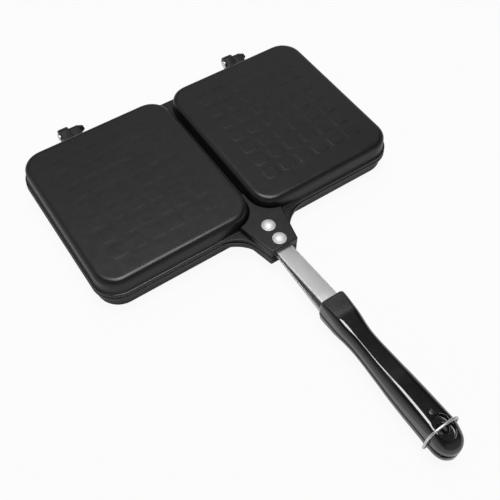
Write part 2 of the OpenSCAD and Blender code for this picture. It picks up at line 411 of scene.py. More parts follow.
def cavity_profile():
    """(offset, z) of the rings from the closing plane up the inside of the wall to the cavity's flat."""
    depth = HALF_H - FLOOR
    fillet = EDGE_R - 1
    tilt = math.atan(LEAN / depth)
    lip = 0.6
    rows = []
    for a in quarter_turn(3):
        rows.append((LEAN - WALL + lip - lip * math.sin(a), GAP / 2 + lip - lip * math.cos(a)))
    centre_e = -WALL + LEAN * fillet / depth - fillet / math.cos(tilt)
    steps = 6
    for i in range(steps + 1):
        a = tilt + (math.pi / 2 - tilt) * i / steps
        rows.append((centre_e + fillet * math.cos(a), depth - fillet + fillet * math.sin(a)))
    rows.append((centre_e - 0.8, depth))
    return rows


def tray(side, high, lower):
    """One tray, a closed shell with raised squares on its flat top."""
    shape = Shape()
    centre = (side * TRAY_X, PAN_D / 2)
    rings = TrayRings(grid_lines(COLUMNS, PITCH_X), grid_lines(ROWS, PITCH_Y))

    def plate(z):
        """The uneven plate with its squares, nowhere higher than z; returns its border."""
        grid = []
        for y in rings.ys:
            points = []
            for x in rings.xs:
                height = z - high + square_height(x, y, high) - abs(waviness(x + centre[0], y))
                points.append((centre[0] + x, centre[1] + y, height))
            grid.append(shape.add(points))
        for a, b in zip(grid, grid[1:]):
            shape.band(a, b, closed=False)
        return rings.border(grid)

    rows = [plate(HALF_H)]
    for inner in (0.66, 0.33):
        rows.append(shape.add(rings.ring(FLAT_OFFSET, HALF_H - high, centre, inner)))
    for offset, z in tray_profile(lower):
        drop = high if z > HALF_H - 0.01 else high * max(z - HALF_H + EDGE_R, 0) / EDGE_R
        rows.append(shape.add(rings.ring(offset, z - drop, centre)))
    for offset, z in cavity_profile():
        rows.append(shape.add(rings.ring(offset, z, centre)))
    for inner in (0.33, 0.66):
        rows.append(shape.add(rings.ring(-WALL - EDGE_R, HALF_H - FLOOR, centre, inner)))
    rows.append(plate(HALF_H - FLOOR + high))
    shape.bands(rows)
    return shape


# ---- plate between the trays, neck, boss and knuckles ----

neck_dir = Vector(((NECK_FRONT_W - NECK_BACK_W) / 2, -NECK_LEN)).normalized()
neck_out = Vector((-neck_dir.y, neck_dir.x))


def neck_curve(r, rim):
    """Middle of the hollow curve between the rim and the neck's right side."""
    y = -rim - r
    return NECK_BACK_W / 2 + (r - y * neck_out.y) / neck_out.x, y


def neck_side(y):
    """Half width of the boss and neck at a distance from the trays' front wall."""
    return NECK_BACK_W / 2 + (y / -NECK_LEN) * (NECK_FRONT_W - NECK_BACK_W) / 2


def mirrored(right):
    """A closed outline from its right half, which runs from the back to the front."""
    return right + [(-x, y) for x, y in reversed(right)]


def web_outline(lower):
    """The rim's plate between the trays, with the hollow curves into the neck and the tang's channel."""
    inner_r = CORNER_R - WALL / 2
    far = TRAY_GAP / 2 + CORNER_R
    rim = rim_edge(lower)
    curve_r = LOWER_CURVE_R if lower else NECK_CURVE_R
    centre = neck_curve(curve_r, rim)
    turn = math.degrees(math.atan2(-neck_out.y, -neck_out.x))
    right = [(far, PAN_D + rim), (far, PAN_D - WALL / 2)]
    right += arc((far, PAN_D - CORNER_R), inner_r, 90, 180, 10)[1:]
    right += arc((far, CORNER_R), inner_r, 180, 270, 10)
    right += [(centre[0], WALL / 2), (centre[0], -rim)]
    right += arc(centre, curve_r, 90, turn % 360, 18)[1:]
    inset = 0.35
    right.append((neck_side(-NECK_LEN) - inset, -NECK_LEN + inset))
    right += [(CHANNEL, -NECK_LEN + inset), (CHANNEL, -TANG_START + 1)]
    return mirrored(right)


def boss_outline():
    """The raised neck: its back edges follow the trays' corners and leave a narrow moat."""
    middle = (TRAY_GAP / 2 + CORNER_R, CORNER_R)
    r = CORNER_R + MOAT
    right = [(middle[0] - r, CORNER_R + 7)] + arc(middle, r, 180, 264, 16)
    right.append((neck_side(-NECK_LEN), -NECK_LEN))
    return mirrored(right)


def cut_box(obj, lo, hi):
    """Cuts a box out of a piece and leaves the result in its mesh."""
    shape = prism([(lo[0], lo[1]), (hi[0], lo[1]), (hi[0], hi[1]), (lo[0], hi[1])], lo[2], hi[2])
    cutter = mesh_object("cutter", shape)
    boolean = obj.modifiers.new("cut", "BOOLEAN")
    boolean.operation = "DIFFERENCE"
    boolean.solver = "EXACT"
    boolean.object = cutter
    bpy.context.view_layer.update()
    evaluated = obj.evaluated_get(bpy.context.evaluated_depsgraph_get())
    mesh = bpy.data.meshes.new_from_object(evaluated)
    obj.modifiers.remove(boolean)
    obj.data = mesh
    bpy.data.objects.remove(cutter)


def knuckle(width, r, x0):
    """An arm from the rim with a round knuckle on the hinge axis."""
    axis = Vector((HINGE_Y, 0))

    def touch(point, side):
        """Angle at which a line from a point touches the knuckle."""
        reach = Vector(point) - axis
        return math.degrees(math.atan2(reach.y, reach.x) - side * math.acos(r / reach.length))

    high = (PAN_D + RIM_EDGE - RIM_STEP, RIM_H - 0.05)
    low = (PAN_D + RIM_EDGE + 0.8, -2.2)
    end = touch(low, -1)
    outline = [(PAN_D + 0.5, GAP / 2), (PAN_D + 0.5, RIM_H - 0.05), high]
    outline += arc(axis, r, touch(high, 1), end - 360 if end > 0 else end, 40)
    outline += [low, (low[0], GAP / 2)]
    shape = Shape()
    rings = []
    bevel = 0.6
    start = [(0, bevel), (0.18, 0.25), (bevel, 0)]
    for dx, shrink in start + [(width - dx, shrink) for dx, shrink in reversed(start)]:
        ring = []
        for y, z in outline:
            d = Vector((y - HINGE_Y, z))
            if d.length < r + 0.01 and d.length > 0:
                d *= (r - shrink) / r
                ring.append((x0 + dx, HINGE_Y + d.x, d.y))
            else:
                ring.append((x0 + dx, y, z))
        rings.append(shape.add(ring))
    shape.tube(rings)
    return shape


def collar(x0):
    """The tapered end of a knuckle, round the pin's tail."""
    shape = Shape()
    bore = PIN_R + 0.05
    profile = [(bore, 0), (3.9, 0), (3.7, 0.5), (2.6, COLLAR_L - 0.6)]
    profile += [(2.2, COLLAR_L - 0.15), (bore, COLLAR_L)]
    rings = []
    for r, h in profile:
        rings.append(shape.add((x0 + h, HINGE_Y + r * math.cos(a), r * math.sin(a)) for a in full_turn(40)))
    shape.bands(rings + rings[:1])
    return shape


def hinge_start(hinge):
    """Left end of a hinge's knuckles."""
    return HINGE_SHIFT + hinge * HINGE_SPAN / 2 - HINGE_W / 2


def pan(prefix, body, lower, knuckle_size, knuckle_x):
    """One half's casting: trays, rim plate, boss and knuckles."""
    node = prefix + "_pan"
    for side, word in SIDES:
        obj = mesh_object(f"{prefix}_{word}_tray", tray(side, SQUARE_H[word], lower), lower, sharp=50)
        finish_piece(obj, body, [node], "pan_coating")
    web_h = LOWER_WEB_H if lower else RIM_H
    lift = 0.03
    web = mesh_object(prefix + "_rim_plate", prism(web_outline(lower), GAP / 2 + lift, web_h + lift), lower)
    finish_piece(bevelled(web, 0.5, 3), body, [node], "pan_coating")
    boss = mesh_object(prefix + "_neck_boss", prism(boss_outline(), GAP / 2, BOSS_H), lower)
    side = -1 if lower else 1
    z0, z1 = sorted((-1 * side, (TANG_LOW + 0.05) * side))
    cut_box(boss, (-CHANNEL, -NECK_LEN - 1, z0), (CHANNEL, -TANG_START + 1, z1))
    finish_piece(bevelled(boss, 0.9, 4), body, [node], "pan_coating")
    for hinge, word in SIDES:
        x0 = hinge_start(hinge) + knuckle_x
        obj = mesh_object(f"{prefix}_{word}_knuckle", knuckle(*knuckle_size, x0), lower)
        finish_piece(obj, body, [node], "pan_coating")
        if lower:
            obj = mesh_object(f"{prefix}_{word}_collar", collar(x0 + knuckle_size[0]), lower)
            finish_piece(obj, body, [node], "pan_coating")


# ---- hinge pins ----


def hinge_pin(hinge, word):
    """A pin with a domed head, through both knuckles and the collar."""
    x0 = hinge_start(hinge) - SIDE_PLAY
    end = SIDE_PLAY + HINGE_W + COLLAR_L
    head, tail, high = PIN_HEAD_R, PIN_TAIL_R, PIN_HEAD_H
    last = end + PIN_TAIL_H
    profile = [(0.01, -high), (head * 0.55, -high), (head * 0.86, -high * 0.88), (head * 0.97, -high * 0.62)]
    profile += [(head, -high * 0.3), (head, -0.12), (head - 0.12, 0), (PIN_R, 0), (PIN_R, end)]
    profile += [(tail - 0.1, end), (tail, end + 0.15), (tail, last - 0.2), (tail - 0.2, last - 0.05)]
    profile += [(tail - 0.5, last), (0.01, last)]
    shape = Shape()
    lathe(shape, profile, lambda u, v, h: (x0 + h, HINGE_Y + u, v), 40)
    obj = mesh_object(word + "_hinge_pin_turned", shape, sharp=35)
    finish_piece(obj, "lower_half", [word + "_hinge_pin"], "bright_steel")


# ---- tangs and rivets ----


def tang_path():
    """Middle line of a tang as (y, z, slope) points, with soft bends."""
    knots = [
        (-TANG_START, TANG_LOW),
        (-NECK_LEN - 1.5, TANG_LOW),
        (-GRIP_START + 1, TANG_HIGH),
        (-TANG_END, TANG_HIGH),
    ]
    bend = 5.0
    points = []
    for i, knot in enumerate(knots):
        here = Vector(knot)
        if i in (0, len(knots) - 1):
            points.append(here)
            continue
        back = (Vector(knots[i - 1]) - here).normalized() * bend
        ahead = (Vector(knots[i + 1]) - here).normalized() * bend
        for k in range(9):
            t = k / 8
            points.append((here + back) * (1 - t) ** 2 + here * 2 * t * (1 - t) + (here + ahead) * t * t)
    return points


def tang(prefix, body, lower):
    """A flat bar with rounded edges, swept along its path."""
    shape = Shape()
    points = tang_path()
    r = 0.45
    section = []
    for cx, cz, start in (
        (TANG_W / 2 - r, -r, 0),
        (-TANG_W / 2 + r, -r, 90),
        (-TANG_W / 2 + r, -TANG_T + r, 180),
        (TANG_W / 2 - r, -TANG_T + r, 270),
    ):
        section += arc((cx, cz), r, start, start + 90, 4)
    rings = []
    for i, p in enumerate(points):
        along = direction(points, i)
        up = Vector((along.y, -along.x))
        rings.append(shape.add((x, p.x + up.x * z, p.y + up.y * z) for x, z in section))
    shape.tube(rings)
    obj = mesh_object(prefix + "_tang_bar", shape, lower, sharp=45)
    finish_piece(obj, body, [prefix + "_tang"], "tang_steel")


def rivets(prefix, body, lower):
    """Two rivets with slightly uneven domed heads and flattened inner ends."""
    shape = Shape()
    ball = (RIVET_R**2 + RIVET_H**2) / (2 * RIVET_H)
    inner = TANG_LOW - TANG_T
    for number, y in enumerate(RIVET_Y):
        profile = []
        top = math.asin(RIVET_R / ball)
        for i in range(15):
            a = top * i / 14
            profile.append((max(ball * math.sin(a), 0.01), BOSS_H + RIVET_H - ball + ball * math.cos(a)))
        profile[-1] = (RIVET_R - 0.06, BOSS_H + 0.2)
        profile += [(RIVET_R, BOSS_H + 0.06), (RIVET_R - 0.1, BOSS_H), (3.0, BOSS_H - 0.1), (3.0, inner)]
        profile += [(4.1, inner), (4.25, inner - 0.15), (4.2, inner - 0.6)]
        profile += [(3.7, inner - 0.8), (0.01, inner - 0.8)]
        tilt = 0.02 if number else -0.015

        def place(u, v, h, y=y, tilt=tilt):
            return u, y + v, h - tilt * max(h - BOSS_H, 0) * u * 0.4

        lathe(shape, profile, place, 56)
    obj = mesh_object(prefix + "_rivet_heads", shape, lower, sharp=45)
    finish_piece(obj, body, [prefix + "_rivets"], "rivet_metal")


# ---- grips ----

# Distance along a grip, half width, height, radius of the top edge, and how crisp that edge is where it
# meets the flat top
GRIP = (
    (0, 10.4, 12.1, 2.2, 1.0),
    (4, 10.9, 12.5, 2.8, 1.0),
    (9, 11.05, 12.7, 3.6, 1.0),
    (15, 10.95, 12.65, 4.6, 1.0),
    (21, 10.95, 12.25, 5.4, 1.0),
    (24.2, 10.8, 11.85, 5.3, 0.0),
    (28, 10.5, 11.15, 5.5, 0.1),
    (32, 10.05, 10.6, 5.7, 0.5),
    (38, 9.6, 10.15, 6.2, 0.8),
    (44, 9.45, 9.95, 6.9, 0.82),
    (52, 9.65, 10.05, 7.4, 0.82),
    (62, 10.15, 10.45, 7.8, 0.76),
    (72, 10.6, 11.1, 7.6, 0.64),
    (80, 11.05, 11.8, 7.4, 0.56),
    (90, 11.35, 12.45, 7.2, 0.45),
    (100, 11.45, 13.0, 6.9, 0.35),
    (112, 11.45, 13.4, 6.1, 0.2),
    (122, 11.55, 13.3, 5.0, 0.0),
    (140, 11.9, 13.0, 5.0, 0.0),
)
END_FROM = 120.0
FRONT = 2.4
FRONT_R = 1.9
PARTING_R = 1.5
CROWN = 0.05
FLAT_N = 9
SIDE_N = 4
EDGE_N = 14
PARTING_N = 6
SIDE_START = FLAT_N + PARTING_N + 2
CREASE = math.radians(17)


def smooth_table(table, s, column):
    """Catmull-Rom line through one column of a table."""
    last = len(table) - 1
    i = 0
    while i < last - 1 and s > table[i + 1][0]:
        i += 1
    rows = [table[min(max(i + k, 0), last)] for k in (-1, 0, 1, 2)]
    span = rows[2][0] - rows[1][0]
    t = min(max((s - rows[1][0]) / span, 0), 1)

    def slope(a, b):
        return (b[column] - a[column]) / (b[0] - a[0]) if b[0] > a[0] else 0

    m1 = slope(rows[0], rows[2]) * span
    m2 = slope(rows[1], rows[3]) * span
    p1, p2 = rows[1][column], rows[2][column]
    h = (2 * t**3 - 3 * t**2 + 1) * p1 + (t**3 - 2 * t**2 + t) * m1
    return h + (-2 * t**3 + 3 * t**2) * p2 + (t**3 - t**2) * m2


def rounded_corner(a, b, c, r, n, share=1.0):
    """Points of a corner at b rounded to radius r; share is the part of the turn that is kept."""
    u = (a - b).normalized()
    v = (c - b).normalized()
    half = u.angle(v) / 2
    cut = min(r / math.tan(half), (a - b).length * 0.6, (c - b).length * 0.7)
    centre = b + (u + v).normalized() * cut / math.cos(half)
    start = b + u * cut - centre
    end = b + v * cut - centre
    sweep = start.angle_signed(end) * share
    return [centre + Matrix.Rotation(-sweep * i / n, 2) @ start for i in range(n + 1)]


def lerp_points(a, b, n):
    """n points between a and b, ends left out."""
    return [a + (b - a) * (i + 1) / (n + 1) for i in range(n)]


class GripForm:
    """The outside of a grip, before its hollow: sections across it at a distance from its front end."""

    def __init__(self, end_wall, slope, extra_r, blunt):
        self.end_wall = end_wall
        self.blunt = blunt
        self.slope = slope
        self.extra_r = extra_r

    def size(self, s):
        """Half width, height and top edge radius."""
        w, top, r = (smooth_table(GRIP, s, column) for column in (1, 2, 3))
        r = min(r + self.extra_r * min(s / 12, 1), top - 2.2)
        if s > END_FROM:
            k = (s - END_FROM) / (GRIP_LEN - END_FROM)
            w *= max(1 - k**self.blunt, 0) ** 0.5
            low = GRIP_LOW + self.end_wall
            top = low + (top - low) * max(1 - k**2.1, 0) ** 0.5
            r += 5 * k
        if s < FRONT + FRONT_R:
            reach = min(FRONT + FRONT_R - s, FRONT_R)
            round_off = FRONT_R - math.sqrt(FRONT_R**2 - reach**2)
            w -= round_off
            top -= 0.6 * round_off
        return max(w, 0.05), top, r

    def crispness(self, s):
        """0 where the top edge runs softly into the flat top, 1 where the crease is full."""
        return min(max(smooth_table(GRIP, s, 4), 0), 1)

    def half(self, s):
        """Right half of a section as (x, z) points, from the middle of the inner face to the top's."""
        w, top, r = self.size(s)
        k = min(w / 6, 1)
        bottom = Vector((0, GRIP_LOW))
        low = Vector((w, GRIP_LOW))
        edge = Vector((w - self.slope * k * (top - GRIP_LOW), top))
        crown = Vector((0, top + CROWN * k))
        parting = rounded_corner(bottom, low, edge, PARTING_R * k, PARTING_N)
        crease = CREASE * self.crispness(s)
        share = 1 - crease / (math.pi / 2 - math.atan(self.slope))
        upper = rounded_corner(low, edge, crown, r, EDGE_N, share)
        rise = crown.y - upper[-1].y if crease else 0
        points = [bottom] + lerp_points(bottom, parting[0], FLAT_N) + parting
        points += lerp_points(parting[-1], upper[0], SIDE_N) + [p + Vector((0, rise)) for p in upper]
        return points + lerp_points(points[-1], crown, FLAT_N) + [crown]

    def section(self, s):
        """The closed section, from the inner face's middle round the right side, top and left side."""
        half = self.half(s)
        return half + [Vector((-p.x, p.y)) for p in reversed(half[1:-1])]

    def height(self, x, y):
        """Height of the outer face over a point."""
        top = list(reversed(self.half(-GRIP_START - y)[SIDE_START:]))
        for a, b in zip(top, top[1:]):
            if a.x <= abs(x) <= b.x:
                return a.y + (b.y - a.y) * (abs(x) - a.x) / max(b.x - a.x, 1e-9)
        return top[-1].y


UPPER_GRIP = GripForm(2.2, 0.05, 0, 3.0)
LOWER_GRIP = GripForm(6.8, 0.22, 1.6, 4.2)
# Where the gaps for the screw's seat and the hollow start and end, as distances along a grip
SEAT_START = -SCREW_Y - GRIP_START - 2.9
BLOCK_SEAM = 201.66 - GRIP_START
BLOCK_END = 222.4 - GRIP_START


def stations():
    """Distances from the front end, closer together at both ends and round the hollow."""
    even_step, even_end, seat_from = 1.3, 104, 104.4
    seat_n, hollow_n, end_n = 11, 28, 20
    out = [FRONT + step for step in (0, 0.1, 0.3, 0.6, 1.1, 1.9)]
    s = FRONT + 2.7
    while s < even_end:
        out.append(s)
        s += even_step
    out += [seat_from + (BLOCK_SEAM - seat_from) * i / seat_n for i in range(seat_n + 1)]
    out += [BLOCK_SEAM + (BLOCK_END - BLOCK_SEAM) * i / hollow_n for i in range(1, hollow_n + 1)]
    out += [BLOCK_END + (GRIP_LEN - BLOCK_END) * math.sin(a) for a in quarter_turn(end_n)[1:]]
    return out


def stadium_scale(direction, half_len, r):
    """Distance from the middle of a long round-ended outline to its edge in one direction."""
    cx, cy = abs(direction.x), abs(direction.y)
    if cx > 1e-9 and r / cx * cy <= half_len:
        return r / cx
    return half_len * cy + math.sqrt(max(half_len**2 * cy**2 - half_len**2 + r**2, 0))


class Pocket:
    """Rings from the border of a gap in a grip's face down into an opening round a centre."""

    def __init__(self, shape, form, border, y):
        self.shape = shape
        self.form = form
        self.y = y
        self.rings = [border]
        self.ways = [(Vector(shape.verts[v]).xy - Vector((0, y))).normalized() for v in border]

    def outline(self, half_len, r):
        """Points of a round-ended outline, one in the direction of each border vertex."""
        return [Vector((0, self.y)) + way * stadium_scale(way, half_len, r) for way in self.ways]

    def approach(self, half_len, r, shares):
        """Rings on the grip's face between the border and an outline."""
        border = [Vector(self.shape.verts[v]).xy for v in self.rings[0]]
        goals = self.outline(half_len, r)
        for share in shares:
            points = [a + (b - a) * share for a, b in zip(border, goals)]
            self.rings.append(self.shape.add((p.x, p.y, self.form.height(p.x, p.y)) for p in points))

    def sink(self, half_len, r, drop):
        """A ring below the grip's face."""
        points = self.outline(half_len, r)
        self.rings.append(self.shape.add((p.x, p.y, self.form.height(p.x, p.y) - drop) for p in points))

    def level(self, half_len, r, z):
        """A ring at one height."""
        self.rings.append(self.shape.add((p.x, p.y, z) for p in self.outline(half_len, r)))


def block_border(rows, i0, i1, columns):
    """Vertices round a block of the loft's grid, between rows i0 and i1 and the given columns."""
    out = [rows[i0][j] for j in columns[:-1]]
    out += [rows[i][columns[-1]] for i in range(i0, i1)]
    out += [rows[i1][j] for j in reversed(columns[1:])]
    out += [rows[i][columns[0]] for i in range(i1, i0, -1)]
    return out


def hollow(shape, form, border):
    """The oval hollow with a soft rim and the hanging hole in its floor; returns the hole's last ring."""
    pocket = Pocket(shape, form, border, HOLE_Y)
    half_len = (HOLLOW_L - HOLLOW_W) / 2
    wall = HOLLOW_W / 2 - 0.15
    rim, foot = 0.35, 0.5
    pocket.approach(half_len, wall + rim + 0.04, (0.25, 0.5, 0.75, 0.92, 1.0))
    for a in quarter_turn(5):
        pocket.sink(half_len, wall + rim - rim * math.sin(a), rim - rim * math.cos(a))
    for a in quarter_turn(4):
        pocket.level(half_len, wall - foot + foot * math.cos(a), HOLLOW_FLOOR + foot - foot * math.sin(a))
    pocket.level(half_len, wall - foot - 0.1, HOLLOW_FLOOR)
    for r, drop in ((0.6, 0), (0.45, 0), (0.15, 0.15), (0, 0.45)):
        pocket.level(0, HOLE_R + r, HOLLOW_FLOOR - drop)
    pocket.level(0, HOLE_R, GRIP_LOW + 0.4)
    pocket.level(0, HOLE_R + 0.4, GRIP_LOW)
    shape.bands(pocket.rings)
    return pocket.rings[-1], pocket.ways


def screw_seat(shape, form, border):
    """A round blind hole for the screw's head."""
    pocket = Pocket(shape, form, border, SCREW_Y)
    r = SCREW_R + 0.06
    pocket.approach(0, r + 0.1, (0.5, 1.0))
    for wider, drop in ((0.06, 0.0), (0.02, 0.04), (0.0, 0.12), (0.0, 1.6)):
        pocket.sink(0, r + wider, drop)
    shape.bands(pocket.rings)
    shape.cap(pocket.rings[-1])


def hole_mouth(shape, border, ring, ways):
    """Joins the border of the gap in the inner face to the hanging hole's last ring."""
    corners = []
    for v in border:
        way = (Vector(shape.verts[v]).xy - Vector((0, HOLE_Y))).normalized()
        corners.append(min(range(len(ways)), key=lambda i, way=way: (ways[i] - way).length))
    n = len(ring)
    for i, v in enumerate(border):
        j = (i + 1) % len(border)
        a, b = corners[i], corners[j]
        step = -1 if (a - b) % n < (b - a) % n else 1
        chain = [ring[a]]
        while a != b:
            a = (a + step) % n
            chain.append(ring[a])
        shape.faces.append(tuple(dict.fromkeys([v] + chain + [border[j]])))


def mark_creases(mesh, sections, places, form):
    """Keeps the edge on each side of the flat top hard where the form is crisp."""
    crown = len(sections[0]) // 2
    crisp = set()
    for section, s in zip(sections, places):
        if form.crispness(s) > 0.5:
            crisp.update((section[crown - FLAT_N - 1], section[crown + FLAT_N + 1]))
    for edge in mesh.edges:
        if crisp.issuperset(edge.vertices):
            edge.use_edge_sharp = True


def grip(prefix, body, lower):
    """A loft along the grip, with gaps in its grid that the hollow, hanging hole and screw's seat fill."""
    form = LOWER_GRIP if lower else UPPER_GRIP
    shape = Shape()
    places = stations()
    rows = [shape.add((p.x, -GRIP_START - s, p.y) for p in form.section(s)) for s in places]
    n = len(rows[0])
    crown = n // 2
    seam, end, seat = (
        min(range(len(places)), key=lambda i, s=s: abs(places[i] - s))
        for s in (BLOCK_SEAM, BLOCK_END, SEAT_START)
    )
    wide, narrow, under = FLAT_N + EDGE_N - 2, 4, FLAT_N
    top_columns = list(range(crown - wide, crown + wide + 1))
    seat_columns = list(range(crown - narrow, crown + narrow + 1))
    low_columns = list(range(n - under, n)) + list(range(under + 1))
    gaps = [(seam, end, top_columns[:-1]), (seat, seam, seat_columns[:-1]), (seam, end, low_columns[:-1])]
    for i in range(len(rows) - 1):
        for j in range(n):
            if not any(i0 <= i < i1 and j in columns for i0, i1, columns in gaps):
                k = (j + 1) % n
                shape.faces.append((rows[i][j], rows[i][k], rows[i + 1][k], rows[i + 1][j]))
    shape.cap(rows[0])
    shape.cap(rows[-1])
    ring, ways = hollow(shape, form, block_border(rows, seam, end, top_columns))
    hole_mouth(shape, block_border(rows, seam, end, low_columns), ring, ways)
    screw_seat(shape, form, block_border(rows, seat, seam, seat_columns))
    obj = mesh_object(prefix + "_grip_moulding", shape, lower, sharp=55)
    mark_creases(obj.data, rows, places, form)
    finish_piece(obj, body, [prefix + "_grip"], "grip_plastic")


def grip_screw(prefix, body, lower):
    """A low domed head with a cross recess, on its shank."""
    form = LOWER_GRIP if lower else UPPER_GRIP
    shape = Shape()
    top = form.height(0, SCREW_Y) - 0.12

    def ring(radius, z):
        """A ring whose radius may change with the angle."""
        points = []
        for a in full_turn(48):
            r = radius(a) if callable(radius) else radius
            points.append((r * math.cos(a), SCREW_Y + r * math.sin(a), z))
        return shape.add(points)

    def cross(reach, arm):
        """Radius of a cross with arms of half width arm."""

        def radius(a):
            narrow = min(abs(math.cos(a)), abs(math.sin(a)))
            return max(min(reach, arm / max(narrow, 1e-6)), arm * 1.2)

        return radius

    shank = [(1.4, 6.5), (1.4, 1.4)]
    head = [(SCREW_R, 0.6), (SCREW_R, 0.35), (SCREW_R - 0.08, 0.22)]
    head += [(SCREW_R * 0.85, 0.08), (SCREW_R * 0.66, 0)]
    recess = [(cross(1.1, 0.26), 0), (cross(1.05, 0.22), 0.1), (cross(0.8, 0.16), 0.8)]
    shape.tube([ring(radius, top - drop) for radius, drop in shank + head + recess])
    obj = mesh_object(prefix + "_screw_head", shape, lower, sharp=40)
    finish_piece(obj, body, [prefix + "_grip_screw"], "dark_steel")


# ---- lock ring ----


def lock_ring():
    """A wire swept along an arch, with its ends turned into the grip."""
    foot = RING_HALF_W - RING_BEND_R
    spring = RING_REACH - ARCH_H
    half = [Vector((foot - RING_PIN, 0)), Vector((foot - 0.6, 0))]
    half += [Vector(p) for p in arc((foot, RING_BEND_R), RING_BEND_R, 270, 360, 8)]
    half += lerp_points(Vector((RING_HALF_W, RING_BEND_R + 0.1)), Vector((RING_HALF_W, spring)), 5)
    for a in quarter_turn(32):
        across = RING_HALF_W * math.cos(a) ** (2 / ARCH_POWER)
        half.append(Vector((across, spring + ARCH_H * math.sin(a) ** (2 / ARCH_POWER))))
    path = half + [Vector((-p.x, p.y)) for p in reversed(half[:-1])]
    shape = Shape()
    rings = []
    lean_up = Vector((0, math.sin(RING_LEAN), math.cos(RING_LEAN)))
    out_of_plane = Vector((0, -math.cos(RING_LEAN), math.sin(RING_LEAN)))
    pivot = (PIVOT - ORIGIN) / MM
    for i, p in enumerate(path):
        along = direction(path, i)
        across = Vector((along.y, -along.x))
        middle = pivot + Vector((p.x, 0, 0)) + lean_up * p.y
        ring = []
        for a in full_turn(20):
            flat = across * math.cos(a) * WIRE_R
            off = out_of_plane * math.sin(a) * WIRE_R
            ring.append(middle + Vector((flat.x, 0, 0)) + lean_up * flat.y + off)
        rings.append(shape.add(ring))
    shape.tube(rings)
    obj = mesh_object("lock_ring_wire", shape, sharp=60)
    finish_piece(obj, "lock_ring", ["lock_ring"], "bright_steel")


# ---- materials ----


def map_range(tree, source, from_low, from_high, low, high, smooth=False):
    """Maps from_low..from_high of a socket to low..high."""
    node = tree.nodes.new("ShaderNodeMapRange")
    if smooth:
        node.interpolation_type = "SMOOTHSTEP"
    for key, value in (("From Min", from_low), ("From Max", from_high), ("To Min", low), ("To Max", high)):
        node.inputs[key].default_value = value
    tree.links.new(source, node.inputs["Value"])
    return node.outputs["Result"]


def calculate(tree, operation, *values):
    """A math node on sockets and numbers."""
    node = tree.nodes.new("ShaderNodeMath")
    node.operation = operation
    for socket, value in zip(node.inputs, values):
        if isinstance(value, float):
            socket.default_value = value
        else:
            tree.links.new(value, socket)
    return node.outputs["Value"]


def highest(tree, first, *others):
    """The highest of several sockets."""
    for other in others:
        first = calculate(tree, "MAXIMUM", first, other)
    return first


class Nodes:
    """Short names for building a node material."""

    def __init__(self, name):
        self.material = bpy.data.materials.new(name)
        self.material.use_nodes = True
        self.tree = self.material.node_tree
        self.shader = self.tree.nodes["Principled BSDF"]
        self.place = self.tree.nodes.new("ShaderNodeTexCoord").outputs["Object"]

    def link(self, source, target):
        """Links two sockets."""
        self.tree.links.new(source, target)

    def split_place(self):
        """The place as separate X, Y and Z sockets."""
        split = self.tree.nodes.new("ShaderNodeSeparateXYZ")
        self.link(self.place, split.inputs["Vector"])
        return split.outputs

    def stretched(self, scale):
        """The place scaled by an amount along each axis."""
        mapping = self.tree.nodes.new("ShaderNodeMapping")
        mapping.inputs["Scale"].default_value = scale
        self.link(self.place, mapping.inputs["Vector"])
        return mapping.outputs["Vector"]

    def noise(self, scale, detail, roughness=0.55, stretch=None):
        """A noise texture, drawn out along an axis by stretch."""
        node = self.tree.nodes.new("ShaderNodeTexNoise")
        node.inputs["Scale"].default_value = scale
        node.inputs["Detail"].default_value = detail
        node.inputs["Roughness"].default_value = roughness
        self.link(self.stretched(stretch) if stretch else self.place, node.inputs["Vector"])
        return node.outputs["Fac"]

    def spread(self, source, low, high):
        """Maps a texture's middle range to low..high."""
        return map_range(self.tree, source, 0.3, 0.7, low, high)

    def grey(self, source, dark, light):
        """Base colour between two greys."""
        ramp = self.tree.nodes.new("ShaderNodeValToRGB")
        ramp.color_ramp.elements[0].position = 0.3
        ramp.color_ramp.elements[0].color = (*dark, 1)
        ramp.color_ramp.elements[1].position = 0.7
        ramp.color_ramp.elements[1].color = (*light, 1)
        self.link(source, ramp.inputs["Fac"])
        self.link(ramp.outputs["Color"], self.shader.inputs["Base Color"])
        return ramp

    def bump(self, layers):
        """Bump layers of (height, strength, distance in metres), one over the other."""
        normal = None
        for height, strength, distance in layers:
            node = self.tree.nodes.new("ShaderNodeBump")
            node.inputs["Strength"].default_value = strength
            node.inputs["Distance"].default_value = distance
            self.link(height, node.inputs["Height"])
            if normal:
                self.link(normal, node.inputs["Normal"])
            normal = node.outputs["Normal"]
        self.link(normal, self.shader.inputs["Normal"])

    def set(self, **values):
        """Sets plain values on the shader."""
        for key, value in values.items():
            self.shader.inputs[key.replace("_", " ")].default_value = value


def pan_coating():
    """Satin black non-stick coating over a cast surface."""
    m = Nodes("pan_coating")
    speckle = m.noise(2600, 2.0)
    cloud = m.noise(38, 4.0)
    m.grey(cloud, (0.0085, 0.0085, 0.0087), (0.0115, 0.0115, 0.0118))
    m.set(IOR=1.5, Specular_IOR_Level=0.44)
    m.link(m.spread(m.noise(120, 4.0), 0.28, 0.36), m.shader.inputs["Roughness"])
    m.bump([(speckle, 0.1, 0.00012), (m.noise(260, 3.0), 0.08, 0.0004)])
    return m.material


